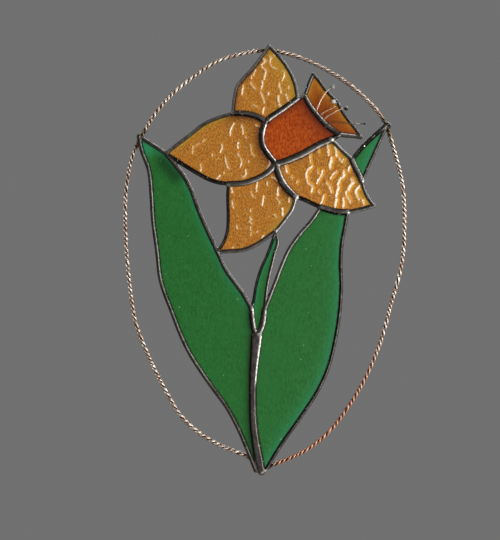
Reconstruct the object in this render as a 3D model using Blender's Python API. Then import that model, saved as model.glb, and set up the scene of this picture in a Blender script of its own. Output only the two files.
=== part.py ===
"""Stained-glass daffodil hung in an oval ring of twisted copper wire.

Metres, +Z up. The origin is on the ring's centre line at the top, where the piece hangs. The ring lies in
the XZ plane, the glass panel stands just in front of it, and its face looks along -Y.
"""

from math import pi, tau

import bmesh
import bpy
from mathutils import Matrix, Vector

MM = 0.001

# Glass
GLASS_THICKNESS = 3.0 * MM
GLASS_GAP = 0.2 * MM
PANE_SPACING = 0.5 * MM

# Solder seams
EDGE_DEPTH = 4.8 * MM
SEAM_DEPTH = 5.4 * MM
STEM_DEPTH = 5.8 * MM
STEM_FLAT_SHARE = 0.6
WIDE_SEAM = 2.9
SEAM_STEP = 7.5 * MM
BEAD_WALL = GLASS_THICKNESS / 2 + 0.4 * MM
BLOB_WALL_STEEPNESS = 3
BLOB_SWELL = 1.12
BALL_SEGMENTS = 8
BALL_RINGS = 5

# Ring of two wires twisted together
STRAND_DIAMETER = 1.6 * MM
STRAND_PAIR_HALF_WIDTH = 1.0 * STRAND_DIAMETER
STRAND_PAIR_HALF_THICKNESS = 0.42 * STRAND_DIAMETER
TWIST_PITCH = 8.0 * MM
STATIONS_PER_TURN = 5
RING_CLEARANCE = 0.25 * MM
RING_ENVELOPE_RESOLUTION = 2

# The panel's middle plane stands this far in front of the ring
PANEL_OFFSET = 4.3 * MM

# Stamens
STAMEN_WIRE = 0.8 * MM
STAMEN_STEP = 2 * MM
STAMEN_SOCKET_GAP = 0.25 * MM
STAMEN_SOCKET_LENGTH = 2.8 * MM
STAMEN_SIDES_RESOLUTION = 1

# Caps are welded to their tubes within this distance
WELD_DISTANCE = 0.001 * MM

# A loop's moved corner is kept if it stays this share of the distance away from every side
KEPT_SHARE = 0.97

# Corners where seams meet: millimetres to the right of the hanging point, and above it
CORNERS = {
    "top_tip": (0.0, 2.9),
    "top_left": (-25.4, -44.3),
    "crown": (-2.2, -50.1),
    "shoulder": (20.0, -33.8),
    "throat_top": (25.2, -31.6),
    "heart": (4.8, -79.5),
    "left_tip": (-72.1, -72.5),
    "left_foot": (-28.4, -93.7),
    "lower_tip": (-36.2, -141.2),
    "stem_top": (4.9, -126.8),
    "crotch": (18.9, -102.9),
    "notch_left": (36.1, -110.1),
    "notch_right": (54.9, -113.5),
    "right_tip": (73.5, -109.0),
    "tip_foot": (65.1, -91.5),
    "tip_heel": (58.2, -76.7),
    "petal_shoulder": (43.6, -62.6),
    "throat_low": (49.5, -59.2),
    "mouth_low": (64.3, -61.2),
    "mouth_top": (30.9, -17.1),
    "leaf_tip": (82.9, -51.9),
    "leaf_left_tip": (-91.0, -60.2),
    "fork_left": (-12.0, -181.3),
    "fork_right": (-3.2, -182.0),
    "fork": (-8.6, -200.5),
    "foot_left": (-9.2, -294.2),
    "foot": (-5.0, -294.9),
    "foot_right": (-1.8, -293.3),
}

# Each seam in millimetres: first corner, points it curves through, last corner, widths along it
SEAMS = {
    "petal_top_left": (
        "top_tip", [(-6.6, -6.5), (-12.1, -13.5), (-18.9, -20.9), (-22.2, -25.0), (-24.1, -32.7)],
        "top_left", [2.2]),
    "petal_top_right": (
        "top_tip", [(5.6, -3.0), (11.4, -10.2), (15.7, -17.4), (18.4, -24.4)],
        "shoulder", [2.3]),
    "trumpet_top": (
        "crown", [(1.1, -47.2), (8.1, -42.5), (15.1, -37.5)],
        "shoulder", [4.0, 3.7, 3.4]),
    "trumpet_lip": ("shoulder", [], "throat_top", [3.0, 2.6]),
    "crown": (
        "top_left", [(-19.5, -44.3), (-13.2, -45.0), (-7.6, -46.9)],
        "crown", [3.4, 4.0, 4.0]),
    "petal_left_top": (
        "left_tip", [(-65.8, -67.3), (-55.3, -59.3), (-44.8, -51.4), (-34.9, -47.1)],
        "top_left", [2.4]),
    "petal_left_bottom": (
        "left_tip", [(-62.5, -78.6), (-48.6, -87.1), (-41.5, -90.8), (-35.1, -92.8)],
        "left_foot", [2.8]),
    "petal_left_lower": (
        "left_foot", [(-20.2, -93.3), (-12.5, -91.6), (-5.5, -88.7), (-0.2, -85.2)],
        "heart", [3.6, 3.8, 4.0]),
    "trumpet_back": (
        "crown", [(-4.2, -55.2), (-5.0, -61.5), (-3.7, -68.1), (0.0, -73.6)],
        "heart", [4.0]),
    "trumpet_bottom": (
        "heart", [(9.8, -78.3), (16.0, -76.0), (22.9, -73.0), (36.9, -65.3)],
        "petal_shoulder", [4.2, 4.6, 4.2]),
    "trumpet_chin": ("petal_shoulder", [], "throat_low", [3.4]),
    "throat": (
        "throat_top", [(26.8, -35.7), (30.0, -40.7), (34.2, -46.1), (39.1, -51.4), (44.1, -55.6)],
        "throat_low", [3.3, 3.6, 3.6]),
    "mouth_left": ("throat_top", [(26.5, -28.2), (28.3, -23.0)], "mouth_top", [2.5]),
    "mouth_rim": (
        "mouth_top", [(34.4, -20.9), (37.9, -25.8), (42.8, -31.6), (47.6, -36.3), (51.3, -43.1),
                      (56.2, -49.9), (60.4, -55.1)],
        "mouth_low", [2.0]),
    "mouth_bottom": ("throat_low", [(54.0, -59.7), (58.9, -60.2)], "mouth_low", [3.6, 2.6]),
    "petal_right_top": ("petal_shoulder", [(47.4, -66.5), (52.6, -71.7)], "tip_heel", [2.5]),
    "leaf_tip_foot": ("tip_heel", [(60.2, -81.8), (62.7, -86.6)], "tip_foot", [4.0]),
    "petal_right_side": ("tip_foot", [(66.4, -96.8), (68.9, -102.6)], "right_tip", [2.5]),
    "petal_right_bottom": ("right_tip", [(67.3, -110.8), (61.0, -112.4)], "notch_right", [2.9]),
    "leaf_right_top": ("notch_right", [(48.4, -113.3), (42.1, -112.0)], "notch_left", [4.3]),
    "petal_right_under": ("notch_left", [(30.0, -107.3), (24.5, -104.7)], "crotch", [2.9]),
    "petal_right_lower": (
        "heart", [(5.9, -84.1), (8.3, -90.6), (12.1, -96.4)],
        "crotch", [4.6, 4.8, 4.4]),
    "petal_lower_right": ("crotch", [(16.3, -111.4), (10.9, -119.4)], "stem_top", [2.5]),
    "petal_lower_bottom": (
        "stem_top", [(-2.4, -132.0), (-10.1, -136.9), (-17.2, -139.8), (-26.5, -140.8)],
        "lower_tip", [2.7]),
    "petal_lower_left": (
        "left_foot", [(-28.9, -101.4), (-28.6, -117.5), (-29.2, -126.6), (-31.5, -133.9)],
        "lower_tip", [2.1]),
    "leaf_left_top": ("leaf_left_tip", [(-82.9, -65.4)], "left_tip", [2.5]),
    "leaf_left_inner": (
        "left_tip", [(-65.7, -80.3), (-59.4, -88.4), (-54.7, -97.2), (-49.3, -111.9)],
        "lower_tip", [2.8]),
    "leaf_left_fork": (
        "lower_tip", [(-29.7, -154.6), (-24.6, -161.8), (-19.6, -168.4), (-15.6, -174.8)],
        "fork_left", [2.6, 2.8, 3.2]),
    "fork_left": ("fork_left", [(-11.6, -188.5), (-10.6, -194.8)], "fork", [3.4, 3.6, 3.7]),
    "stem": (
        "fork", [(-9.5, -210.2), (-11.0, -229.5), (-11.3, -241.7), (-10.3, -265.9), (-8.2, -279.9)],
        "foot", [7.6, 6.9, 5.8, 4.9, 5.0, 5.3, 5.7, 6.2, 5.4]),
    "leaf_left_outer": (
        "leaf_left_tip", [(-89.0, -70.1), (-84.0, -84.0), (-82.3, -99.4), (-81.1, -118.9), (-78.3, -140.0),
                          (-75.7, -161.1), (-68.3, -182.2), (-56.5, -210.3), (-43.1, -231.2),
                          (-28.2, -252.1), (-20.9, -266.0), (-14.9, -280.0)],
        "foot_left", [3.0]),
    "foot_left": ("foot_left", [], "foot", [2.3]),
    "foot_right": ("foot", [], "foot_right", [2.4]),
    "leaf_right_inner": (
        "notch_left", [(30.3, -118.8), (21.2, -129.3), (13.9, -139.8), (9.1, -150.4), (5.1, -160.9)],
        "fork_right", [2.7]),
    "fork_right": ("fork_right", [(-4.0, -188.5), (-5.5, -194.8)], "fork", [3.7, 4.3, 4.0]),
    "stem_glass_left": (
        "stem_top", [(2.4, -133.6), (-1.3, -143.4), (-5.9, -153.9), (-9.0, -164.4), (-10.8, -174.9)],
        "fork_left", [1.9]),
    "stem_glass_right": ("stem_top", [(6.3, -133.6), (3.8, -143.4), (-1.0, -164.4)], "fork_right", [2.1]),
    "leaf_right_outer": (
        "notch_right", [(53.5, -121.7), (51.3, -133.6), (50.2, -148.3), (50.6, -165.1), (49.6, -181.9),
                        (46.4, -202.9), (40.9, -223.9), (34.5, -237.8), (25.7, -251.7), (6.3, -279.7)],
        "foot_right", [2.7]),
    "leaf_tip_left": ("tip_heel", [(64.9, -68.5), (73.2, -60.4)], "leaf_tip", [3.0]),
    "leaf_tip_right": ("leaf_tip", [(77.3, -64.1), (71.8, -76.4)], "tip_foot", [2.2]),
}

# The seams round each pane, in order
PANES = {
    "glass_petal_top": ["petal_top_left", "crown", "trumpet_top", "petal_top_right"],
    "glass_petal_left": [
        "petal_left_top", "crown", "trumpet_back", "petal_left_lower", "petal_left_bottom"],
    "glass_petal_lower": [
        "petal_left_lower", "petal_right_lower", "petal_lower_right", "petal_lower_bottom",
        "petal_lower_left"],
    "glass_petal_right": [
        "trumpet_bottom", "petal_right_top", "leaf_tip_foot", "petal_right_side", "petal_right_bottom",
        "leaf_right_top", "petal_right_under", "petal_right_lower"],
    "glass_trumpet": [
        "trumpet_top", "trumpet_lip", "throat", "trumpet_chin", "trumpet_bottom", "trumpet_back"],
    "glass_trumpet_mouth": ["mouth_left", "mouth_rim", "mouth_bottom", "throat"],
    "glass_leaf_left": [
        "leaf_left_top", "leaf_left_inner", "leaf_left_fork", "fork_left", "stem", "foot_left",
        "leaf_left_outer"],
    "glass_leaf_right": [
        "leaf_right_top", "leaf_right_inner", "fork_right", "stem", "foot_right", "leaf_right_outer"],
    "glass_leaf_tip": ["leaf_tip_left", "leaf_tip_right", "leaf_tip_foot"],
    "glass_stem": ["stem_glass_left", "fork_left", "fork_right", "stem_glass_right"],
}

# The ring's centre line in millimetres, clockwise from the foot of the panel
RING_ROUTE = [
    (-6.5, -289.8), (-14.0, -285.3), (-30.8, -278.6), (-46.8, -269.8), (-61.0, -257.2), (-71.1, -241.2),
    (-84.0, -215.2), (-93.2, -191.7), (-97.4, -166.5), (-100.0, -137.9), (-100.7, -118.6), (-99.5, -92.5),
    (-95.8, -75.0), (-87.4, -56.6), (-73.1, -36.0), (-54.6, -19.6), (-37.0, -8.0), (-20.2, -2.4), (0.0, 0.0),
    (14.3, -2.5), (31.9, -9.1), (51.2, -20.0), (67.2, -33.0), (80.2, -48.2), (88.2, -71.3), (93.2, -91.0),
    (95.1, -118.9), (92.8, -151.6), (86.2, -175.8), (77.8, -205.7), (68.5, -228.1), (55.1, -250.8),
    (42.3, -267.3), (24.6, -281.1), (7.8, -288.7), (-2.6, -292.8)]

# Solder lumps that hold the ring at the tips: place in millimetres, and radius
RING_HOLDS = {
    "top": ((0.0, 0.4), 2.5),
    "left": ((-90.2, -61.6), 2.4),
    "right": ((83.0, -53.0), 2.6),
    "foot_left": ((-9.8, -289.0), 2.6),
    "foot_right": ((-3.6, -292.6), 2.8),
}

# Each stamen: its wire's points as millimetres right, above and in front of the glass, and its end's radius
STAMENS = {
    "stamen_1": ([(32.9, -43.9, 0.9), (33.2, -43.0, 2.2), (34.6, -39.3, 3.2), (36.2, -35.6, 3.5),
                  (38.3, -32.1, 3.6), (40.6, -28.8, 3.6), (44.4, -26.0, 3.2)], 1.9),
    "stamen_2": ([(35.5, -46.9, 0.9), (35.9, -46.1, 2.1), (38.0, -44.2, 3.0), (41.4, -42.3, 3.4),
                  (45.2, -40.4, 3.6), (47.2, -38.6, 3.6), (46.6, -36.8, 3.2), (45.2, -36.2, 2.9)], 1.65),
    "stamen_3": ([(38.1, -49.7, 0.9), (38.6, -48.9, 2.1), (40.8, -46.7, 2.8), (44.2, -44.7, 3.1),
                  (50.5, -41.6, 3.2), (54.0, -41.0, 3.0)], 1.7),
    "stamen_4": ([(40.9, -52.4, 0.9), (41.8, -51.8, 2.1), (44.4, -51.0, 3.0), (49.8, -51.0, 3.4),
                  (58.2, -51.8, 3.6), (66.9, -51.8, 3.4)], 0.85),
}


# Scene, collections and materials

def clear_scene():
    for item in list(bpy.data.objects):
        bpy.data.objects.remove(item, do_unlink=True)


def new_collection(name):
    collection = bpy.data.collections.new(name)
    bpy.context.scene.collection.children.link(collection)
    return collection


def glass_material(name, color):
    material = bpy.data.materials.new(name)
    material.use_nodes = True
    shader = material.node_tree.nodes["Principled BSDF"]
    shader.inputs["Base Color"].default_value = (*color, 1)
    shader.inputs["Roughness"].default_value = 0.12
    shader.inputs["IOR"].default_value = 1.52
    shader.inputs["Transmission Weight"].default_value = 0.6
    return material


def metal_material(name, color, roughness):
    material = bpy.data.materials.new(name)
    material.use_nodes = True
    shader = material.node_tree.nodes["Principled BSDF"]
    shader.inputs["Base Color"].default_value = (*color, 1)
    shader.inputs["Metallic"].default_value = 1
    shader.inputs["Roughness"].default_value = roughness
    return material


# Curves in the panel's plane

def place(point, front=0.0):
    """A point given in millimetres across, up and in front of the panel's middle plane."""
    return Vector((point[0] * MM, -PANEL_OFFSET - front * MM, point[1] * MM))


def smooth_path(points, step):
    """Points about one step apart on a smooth curve through the given ones."""
    chords = [(b - a) for a, b in zip(points, points[1:])]
    slopes = [chord.normalized() for chord in chords]
    tangents = [slopes[0]]
    for before, after, left, right in zip(chords, chords[1:], slopes, slopes[1:]):
        share = before.length / (before.length + after.length)
        tangents.append(left * (1 - share) + right * share)
    tangents.append(slopes[-1])
    path = []
    for start, chord, leave, arrive in zip(points, chords, tangents, tangents[1:]):
        length = chord.length
        count = max(1, round(length / step))
        for i in range(count):
            t = i / count
            path.append(
                start + chord * (3 * t ** 2 - 2 * t ** 3)
                + leave * length * (t - 2 * t ** 2 + t ** 3)
                + arrive * length * (t ** 3 - t ** 2))
    path.append(points[-1].copy())
    return path


def seam_path(name):
    first, points, last, _ = SEAMS[name]
    corners = [CORNERS[first], *points, CORNERS[last]]
    return smooth_path([place(point) for point in corners], SEAM_STEP)


def width_at(widths, share):
    """The width this far along a seam, between the widths listed at even spacing."""
    if len(widths) == 1:
        return widths[0]
    position = share * (len(widths) - 1)
    index = min(int(position), len(widths) - 2)
    rest = position - index
    return widths[index] * (1 - rest) + widths[index + 1] * rest


def pane_loop(seams):
    """The closed loop of seam centre lines round a pane."""
    paths = [seam_path(name) for name in seams]
    following = paths[1]
    if (paths[0][0] - following[0]).length < MM or (paths[0][0] - following[-1]).length < MM:
        paths[0].reverse()
    loop = paths[0][:-1]
    end = paths[0][-1]
    for path in paths[1:]:
        if (path[0] - end).length > MM:
            path.reverse()
        loop += path[:-1]
        end = path[-1]
    return loop


def area(loop):
    """Twice the area inside a loop, positive where it runs anticlockwise as seen from the front."""
    return sum(a.x * b.z - b.x * a.z for a, b in zip(loop, loop[1:] + loop[:1]))


def distance_to_segment(point, start, end):
    along = end - start
    share = max(0.0, min(1.0, (point - start).dot(along) / along.length_squared))
    return (point - start - along * share).length


def inset_loop(loop, distance):
    """The loop moved inwards, with what would cross at its sharp tips left out."""
    if area(loop) < 0:
        loop = loop[::-1]
    sides = list(zip(loop, loop[1:] + loop[:1]))
    inset = []
    for i, corner in enumerate(loop):
        arriving = (corner - loop[i - 1]).normalized()
        leaving = (loop[(i + 1) % len(loop)] - corner).normalized()
        inward = Vector((-arriving.z - leaving.z, 0, arriving.x + leaving.x)).normalized()
        spread = inward.dot(Vector((-leaving.z, 0, leaving.x)))
        moved = corner + inward * distance / spread
        if min(distance_to_segment(moved, a, b) for a, b in sides) > KEPT_SHARE * distance:
            inset.append(moved)
    return inset


# Meshes from curves

def link_mesh(name, mesh, material, collection):
    item = bpy.data.objects.new(name, mesh)
    if material:
        mesh.materials.clear()
        mesh.materials.append(material)
    collection.objects.link(item)
    return item


def hide_cutter(item):
    item.hide_render = True
    item.display_type = "WIRE"
    return item


def to_mesh(item, material, collection):
    """The curve object made a mesh, with its caps welded on."""
    bpy.context.view_layer.update()
    evaluated = item.evaluated_get(bpy.context.evaluated_depsgraph_get())
    mesh = bpy.data.meshes.new_from_object(evaluated)
    mesh.transform(item.matrix_world)
    name = item.name
    bpy.data.objects.remove(item, do_unlink=True)
    work = bmesh.new()
    work.from_mesh(mesh)
    bmesh.ops.remove_doubles(work, verts=work.verts, dist=WELD_DISTANCE)
    bmesh.ops.recalc_face_normals(work, faces=work.faces)
    work.to_mesh(mesh)
    work.free()
    return link_mesh(name, mesh, material, collection)


def tube(name, path, radii, resolution, material, collection):
    """A round wire along a path, with a radius for each of its points."""
    data = bpy.data.curves.new(name, "CURVE")
    data.dimensions = "3D"
    data.bevel_depth = 1.0
    data.bevel_resolution = resolution
    data.use_fill_caps = True
    data.twist_mode = "MINIMUM"
    spline = data.splines.new("POLY")
    spline.points.add(len(path) - 1)
    for point, position, radius in zip(spline.points, path, radii):
        point.co = (*position, 1)
        point.radius = radius
    item = bpy.data.objects.new(name, data)
    collection.objects.link(item)
    return to_mesh(item, material, collection)


def plate(name, loop, thickness, material, collection):
    """A flat sheet with the loop's outline, centred on the panel's middle plane."""
    data = bpy.data.curves.new(name, "CURVE")
    data.dimensions = "2D"
    data.fill_mode = "BOTH"
    data.extrude = thickness / 2
    spline = data.splines.new("POLY")
    spline.points.add(len(loop) - 1)
    for point, corner in zip(spline.points, loop):
        point.co = (corner.x, corner.z, 0, 1)
    spline.use_cyclic_u = True
    item = bpy.data.objects.new(name, data)
    item.rotation_euler = (pi / 2, 0, 0)
    item.location = (0, -PANEL_OFFSET, 0)
    collection.objects.link(item)
    return to_mesh(item, material, collection)


def ball(name, center, radius, material, collection):
    mesh = bpy.data.meshes.new(name)
    work = bmesh.new()
    bmesh.ops.create_uvsphere(
        work, u_segments=BALL_SEGMENTS, v_segments=BALL_RINGS, radius=radius,
        matrix=Matrix.Translation(center))
    work.to_mesh(mesh)
    work.free()
    return link_mesh(name, mesh, material, collection)


def join_collection(item, others):
    """Unites a piece with all that a collection holds, and empties the collection."""
    modifier = item.modifiers.new("union", "BOOLEAN")
    modifier.operation = "UNION"
    modifier.operand_type = "COLLECTION"
    modifier.collection = others
    modifier.solver = "EXACT"
    apply_modifiers(item)
    for other in list(others.objects):
        bpy.data.objects.remove(other, do_unlink=True)
    bpy.data.collections.remove(others)


def apply_modifiers(item):
    bpy.context.view_layer.update()
    evaluated = item.evaluated_get(bpy.context.evaluated_depsgraph_get())
    mesh = bpy.data.meshes.new_from_object(evaluated)
    item.modifiers.clear()
    item.data = mesh


def drop_scraps(item):
    """Leaves only the largest of a piece's separate shells."""
    work = bmesh.new()
    work.from_mesh(item.data)
    shells = []
    waiting = set(work.verts)
    while waiting:
        shell = {waiting.pop()}
        edge_of_shell = list(shell)
        while edge_of_shell:
            vertex = edge_of_shell.pop()
            near = {edge.other_vert(vertex) for edge in vertex.link_edges} - shell
            shell |= near
            edge_of_shell += near
        waiting -= shell
        shells.append(shell)
    shells.sort(key=len)
    for shell in shells[:-1]:
        bmesh.ops.delete(work, geom=list(shell), context="VERTS")
    work.to_mesh(item.data)
    work.free()


def cut(item, cutter):
    """Cuts by the manifold solver, because the exact one leaves open edges in the web's thin walls."""
    modifier = item.modifiers.new("cut " + cutter.name, "BOOLEAN")
    modifier.operation = "DIFFERENCE"
    modifier.object = cutter
    modifier.solver = "MANIFOLD"


# Glass

def make_panes(colors, collection):
    for name, seams in PANES.items():
        loop = inset_loop(pane_loop(seams), PANE_SPACING / 2 + GLASS_GAP)
        plate(name, loop, GLASS_THICKNESS, colors[name], collection)


def pane_sockets(collection):
    sockets = []
    for name, seams in PANES.items():
        loop = inset_loop(pane_loop(seams), PANE_SPACING / 2)
        socket = plate("socket_" + name, loop, GLASS_THICKNESS + 2 * GLASS_GAP, None, collection)
        sockets.append(hide_cutter(socket))
    return sockets


# Solder

def bead_height(name):
    """How far a seam's bead rises from the panel's middle plane."""
    if name == "stem":
        return STEM_DEPTH / 2
    return (SEAM_DEPTH if max(SEAMS[name][3]) > WIDE_SEAM else EDGE_DEPTH) / 2


def bead_section(name):
    """Half of a bead's section as shares of its half width, and heights: walls past the glass, then its crest."""
    height = bead_height(name)
    crest = [(STEM_FLAT_SHARE, height), (-STEM_FLAT_SHARE, height)] if name == "stem" else [(0, height)]
    return [(1, BEAD_WALL), *crest, (-1, BEAD_WALL)]


def solder_seam(name, material, collection):
    """A bead of solder lofted along a seam, alike on both faces of the panel."""
    path = seam_path(name)
    front = bead_section(name)
    section = front + [(-share, -height) for share, height in front]
    work = bmesh.new()
    rings = []
    for i, point in enumerate(path):
        ahead = path[min(i + 1, len(path) - 1)] - path[max(i - 1, 0)]
        across = Vector((ahead.z, 0, -ahead.x)).normalized()
        half_width = width_at(SEAMS[name][3], i / (len(path) - 1)) * MM / 2
        rings.append([
            work.verts.new(point + across * half_width * share + Vector((0, height, 0)))
            for share, height in section])
    for ring, following in zip(rings, rings[1:]):
        for k, corner in enumerate(ring):
            work.faces.new((corner, ring[k - 1], following[k - 1], following[k]))
    work.faces.new(rings[0])
    work.faces.new(rings[-1])
    bmesh.ops.recalc_face_normals(work, faces=work.faces)
    mesh = bpy.data.meshes.new("seam_" + name)
    work.to_mesh(mesh)
    work.free()
    return link_mesh("seam_" + name, mesh, material, collection)


def corner_blob(name, material, collection):
    """A lump of solder over the ends of the seams that meet at a corner, with walls like theirs."""
    ends = [(SEAMS[seam][3][0], bead_height(seam)) for seam in SEAMS if SEAMS[seam][0] == name]
    ends += [(SEAMS[seam][3][-1], bead_height(seam)) for seam in SEAMS if SEAMS[seam][2] == name]
    radius = max(width for width, _ in ends) * MM / 2 * BLOB_SWELL
    height = max(height for _, height in ends) * BLOB_SWELL
    blob = ball("blob_" + name, place(CORNERS[name]), radius, material, collection)
    for vertex in blob.data.vertices:
        rise = (vertex.co.y + PANEL_OFFSET) / radius
        wall = BEAD_WALL * max(-1, min(1, rise * BLOB_WALL_STEEPNESS))
        vertex.co.y = wall + (height - BEAD_WALL) * rise - PANEL_OFFSET
    return blob


def make_solder(material, collection, cutters, ring_envelope):
    loose = new_collection("seams")
    for name in SEAMS:
        solder_seam(name, material, loose)
    for name in CORNERS:
        corner_blob(name, material, loose)
    for name, (point, radius) in RING_HOLDS.items():
        center = place(point)
        center.y += PANEL_OFFSET / 2
        ball("hold_" + name, center, radius * MM, material, loose)
    web = loose.objects["seam_stem"]
    loose.objects.unlink(web)
    collection.objects.link(web)
    web.name = "solder_web"
    join_collection(web, loose)
    for socket in pane_sockets(cutters):
        cut(web, socket)
    cut(web, ring_envelope)
    for name, (points, _) in STAMENS.items():
        cut(web, stamen_socket(name, points, cutters))
    apply_modifiers(web)
    drop_scraps(web)


# Ring

def ring_path(step):
    points = [Vector((x * MM, 0, z * MM)) for x, z in RING_ROUTE]
    return smooth_path(points, step)


def make_ring(material, collection):
    """Two strands side by side, turned about each other as one body."""
    profile = bpy.data.curves.new("strand_pair", "CURVE")
    profile.dimensions = "2D"
    outline = profile.splines.new("POLY")
    corners = [(1, 1), (-1, 1), (-1, -1), (1, -1)]
    outline.points.add(len(corners) - 1)
    for point, (x, y) in zip(outline.points, corners):
        point.co = (x * STRAND_PAIR_HALF_WIDTH, y * STRAND_PAIR_HALF_THICKNESS, 0, 1)
    outline.use_cyclic_u = True
    profile_object = bpy.data.objects.new("strand_pair", profile)
    collection.objects.link(profile_object)

    path = ring_path(TWIST_PITCH / STATIONS_PER_TURN)
    data = bpy.data.curves.new("wire_ring", "CURVE")
    data.dimensions = "3D"
    data.bevel_mode = "OBJECT"
    data.bevel_object = profile_object
    data.use_fill_caps = True
    data.twist_mode = "MINIMUM"
    spline = data.splines.new("POLY")
    spline.points.add(len(path) - 1)
    for i, (point, position) in enumerate(zip(spline.points, path)):
        point.co = (*position, 1)
        point.tilt = tau * (i % STATIONS_PER_TURN) / STATIONS_PER_TURN
    item = bpy.data.objects.new("wire_ring", data)
    collection.objects.link(item)
    ring = to_mesh(item, material, collection)
    bpy.data.objects.remove(profile_object, do_unlink=True)
    return ring


def ring_cutter(collection):
    path = ring_path(TWIST_PITCH / 2)
    for end, beside in ((0, 1), (-1, -2)):
        path[end] += (path[end] - path[beside]).normalized() * RING_CLEARANCE
    radius = STRAND_DIAMETER + RING_CLEARANCE
    radii = [radius] * len(path)
    return hide_cutter(tube("ring_envelope", path, radii, RING_ENVELOPE_RESOLUTION, None, collection))


# Stamens

def stamen_points(points):
    return [place(point, GLASS_THICKNESS / MM / 2 + point[2]) for point in points]


def stamen_socket(name, points, collection):
    bottom = stamen_points(points)[0] + Vector((0, STAMEN_WIRE / 2, 0))
    mouth = bottom - Vector((0, STAMEN_SOCKET_LENGTH, 0))
    radii = [STAMEN_WIRE / 2 + STAMEN_SOCKET_GAP] * 2
    return hide_cutter(
        tube("socket_" + name, [bottom, mouth], radii, STAMEN_SIDES_RESOLUTION, None, collection))


def make_stamens(material, collection):
    for name, (points, end_radius) in STAMENS.items():
        path = smooth_path(stamen_points(points), STAMEN_STEP)
        radii = [STAMEN_WIRE / 2] * len(path)
        wire = tube(name, path, radii, STAMEN_SIDES_RESOLUTION, material, collection)
        ends = new_collection("stamen_end")
        ball("end", path[-1], end_radius * MM, material, ends)
        join_collection(wire, ends)


def main():
    clear_scene()
    parts = new_collection("daffodil_suncatcher")
    cutters = new_collection("cutters")
    amber = glass_material("amber glass", (0.48, 0.17, 0.015))
    red = glass_material("red-orange glass", (0.38, 0.05, 0.01))
    orange = glass_material("orange glass", (0.45, 0.12, 0.01))
    green = glass_material("green glass", (0.02, 0.14, 0.03))
    solder = metal_material("dark solder", (0.05, 0.043, 0.035), 0.35)
    copper = metal_material("copper wire", (0.48, 0.2, 0.12), 0.3)
    tinned = metal_material("tinned wire", (0.6, 0.6, 0.58), 0.25)
    colors = {name: amber if "petal" in name else green for name in PANES}
    colors["glass_trumpet"] = red
    colors["glass_trumpet_mouth"] = orange
    make_panes(colors, parts)
    make_ring(copper, parts)
    make_solder(solder, parts, cutters, ring_cutter(cutters))
    make_stamens(tinned, parts)


main()
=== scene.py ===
"""Looks of a stained-glass daffodil that hangs in an oval ring of twisted copper wire.

The tables are in millimetres to the right of the hanging point and above it. The panel's face looks along -Y.
"""

from math import cos, pi, radians, sin, tau

import bmesh
import bpy
import numpy as np
from mathutils import Matrix, Vector, noise
from mathutils.kdtree import KDTree


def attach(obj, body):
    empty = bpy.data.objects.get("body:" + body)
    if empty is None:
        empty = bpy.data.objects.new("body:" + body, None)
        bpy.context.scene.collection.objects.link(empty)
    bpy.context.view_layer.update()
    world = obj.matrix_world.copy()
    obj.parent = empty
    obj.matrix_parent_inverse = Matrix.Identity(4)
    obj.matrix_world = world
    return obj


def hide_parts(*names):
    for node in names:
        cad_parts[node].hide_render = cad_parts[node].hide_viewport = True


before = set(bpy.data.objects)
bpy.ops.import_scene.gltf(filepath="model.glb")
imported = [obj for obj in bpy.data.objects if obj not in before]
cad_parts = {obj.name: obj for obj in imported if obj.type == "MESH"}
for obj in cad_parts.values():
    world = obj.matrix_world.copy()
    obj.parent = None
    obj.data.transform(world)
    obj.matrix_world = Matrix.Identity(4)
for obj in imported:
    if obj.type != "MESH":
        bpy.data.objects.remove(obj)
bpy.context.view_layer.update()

MM = 0.001
WELD_DISTANCE = 0.001 * MM

# Glass; beyond this share of half its thickness, a point belongs to a pane's front or back
GLASS_THICKNESS = 3.0 * MM
PANE_INSET = 0.45 * MM
PANEL_OFFSET = 4.3 * MM
FACE_SHARE = 0.8
PETAL_VOXEL = 0.4 * MM
LEAF_VOXEL = 0.7 * MM

# A loop's moved corner is kept if it stays this share of the distance away from every side
KEPT_SHARE = 0.97

# Waves in the glass: how steep they are, how far their flanks reach, how ragged they are and over what size,
# and how much of them the back shows
WAVE_SLOPE = 0.28
WAVE_SPREAD = 2.6
RAGGEDNESS = 0.5
RAGGED_PATCH = 0.8
BACK_RELIEF = 0.6

# Solder
EDGE_DEPTH = 4.8 * MM
SEAM_DEPTH = 5.4 * MM
STEM_DEPTH = 5.8 * MM
STEM_FLATNESS = 1.3
WIDE_SEAM = 2.9
BEAD_SIDES = 24
BEAD_WALL = 1.3 * MM
BEAD_STEEPNESS = 3.0
PATH_STEP = 2.0 * MM
BLOB_SWELL = 1.06
SOLDER_VOXEL = 0.36 * MM
SOLDER_SMOOTHING = 3
WIDTH_UNEVENNESS = 0.06
WIDTH_PATCH = 6 * MM

# Coarse and fine lumps on the solder: height and size
LUMPS = [(0.06, 3.5), (0.03, 1.2)]

# How far beyond a bead's flank the glass is looked for, how wide the dark foil edge and painted shade beside
# the solder are, how far from its path a bead's edge is measured, and the distance given to all that lies
# beyond
FLANK_REACH = 3.0
FOIL_EDGE_AND_SHADE_REACH = 0.5
BEAD_REACH = 12.0
FAR = 40.0

# The side that the light comes from, and the side of the ring with painted shade
LIT_SIDE = np.array((0.97, -0.24))
LOWER_LEFT = np.array((-0.71, -0.71))
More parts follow.
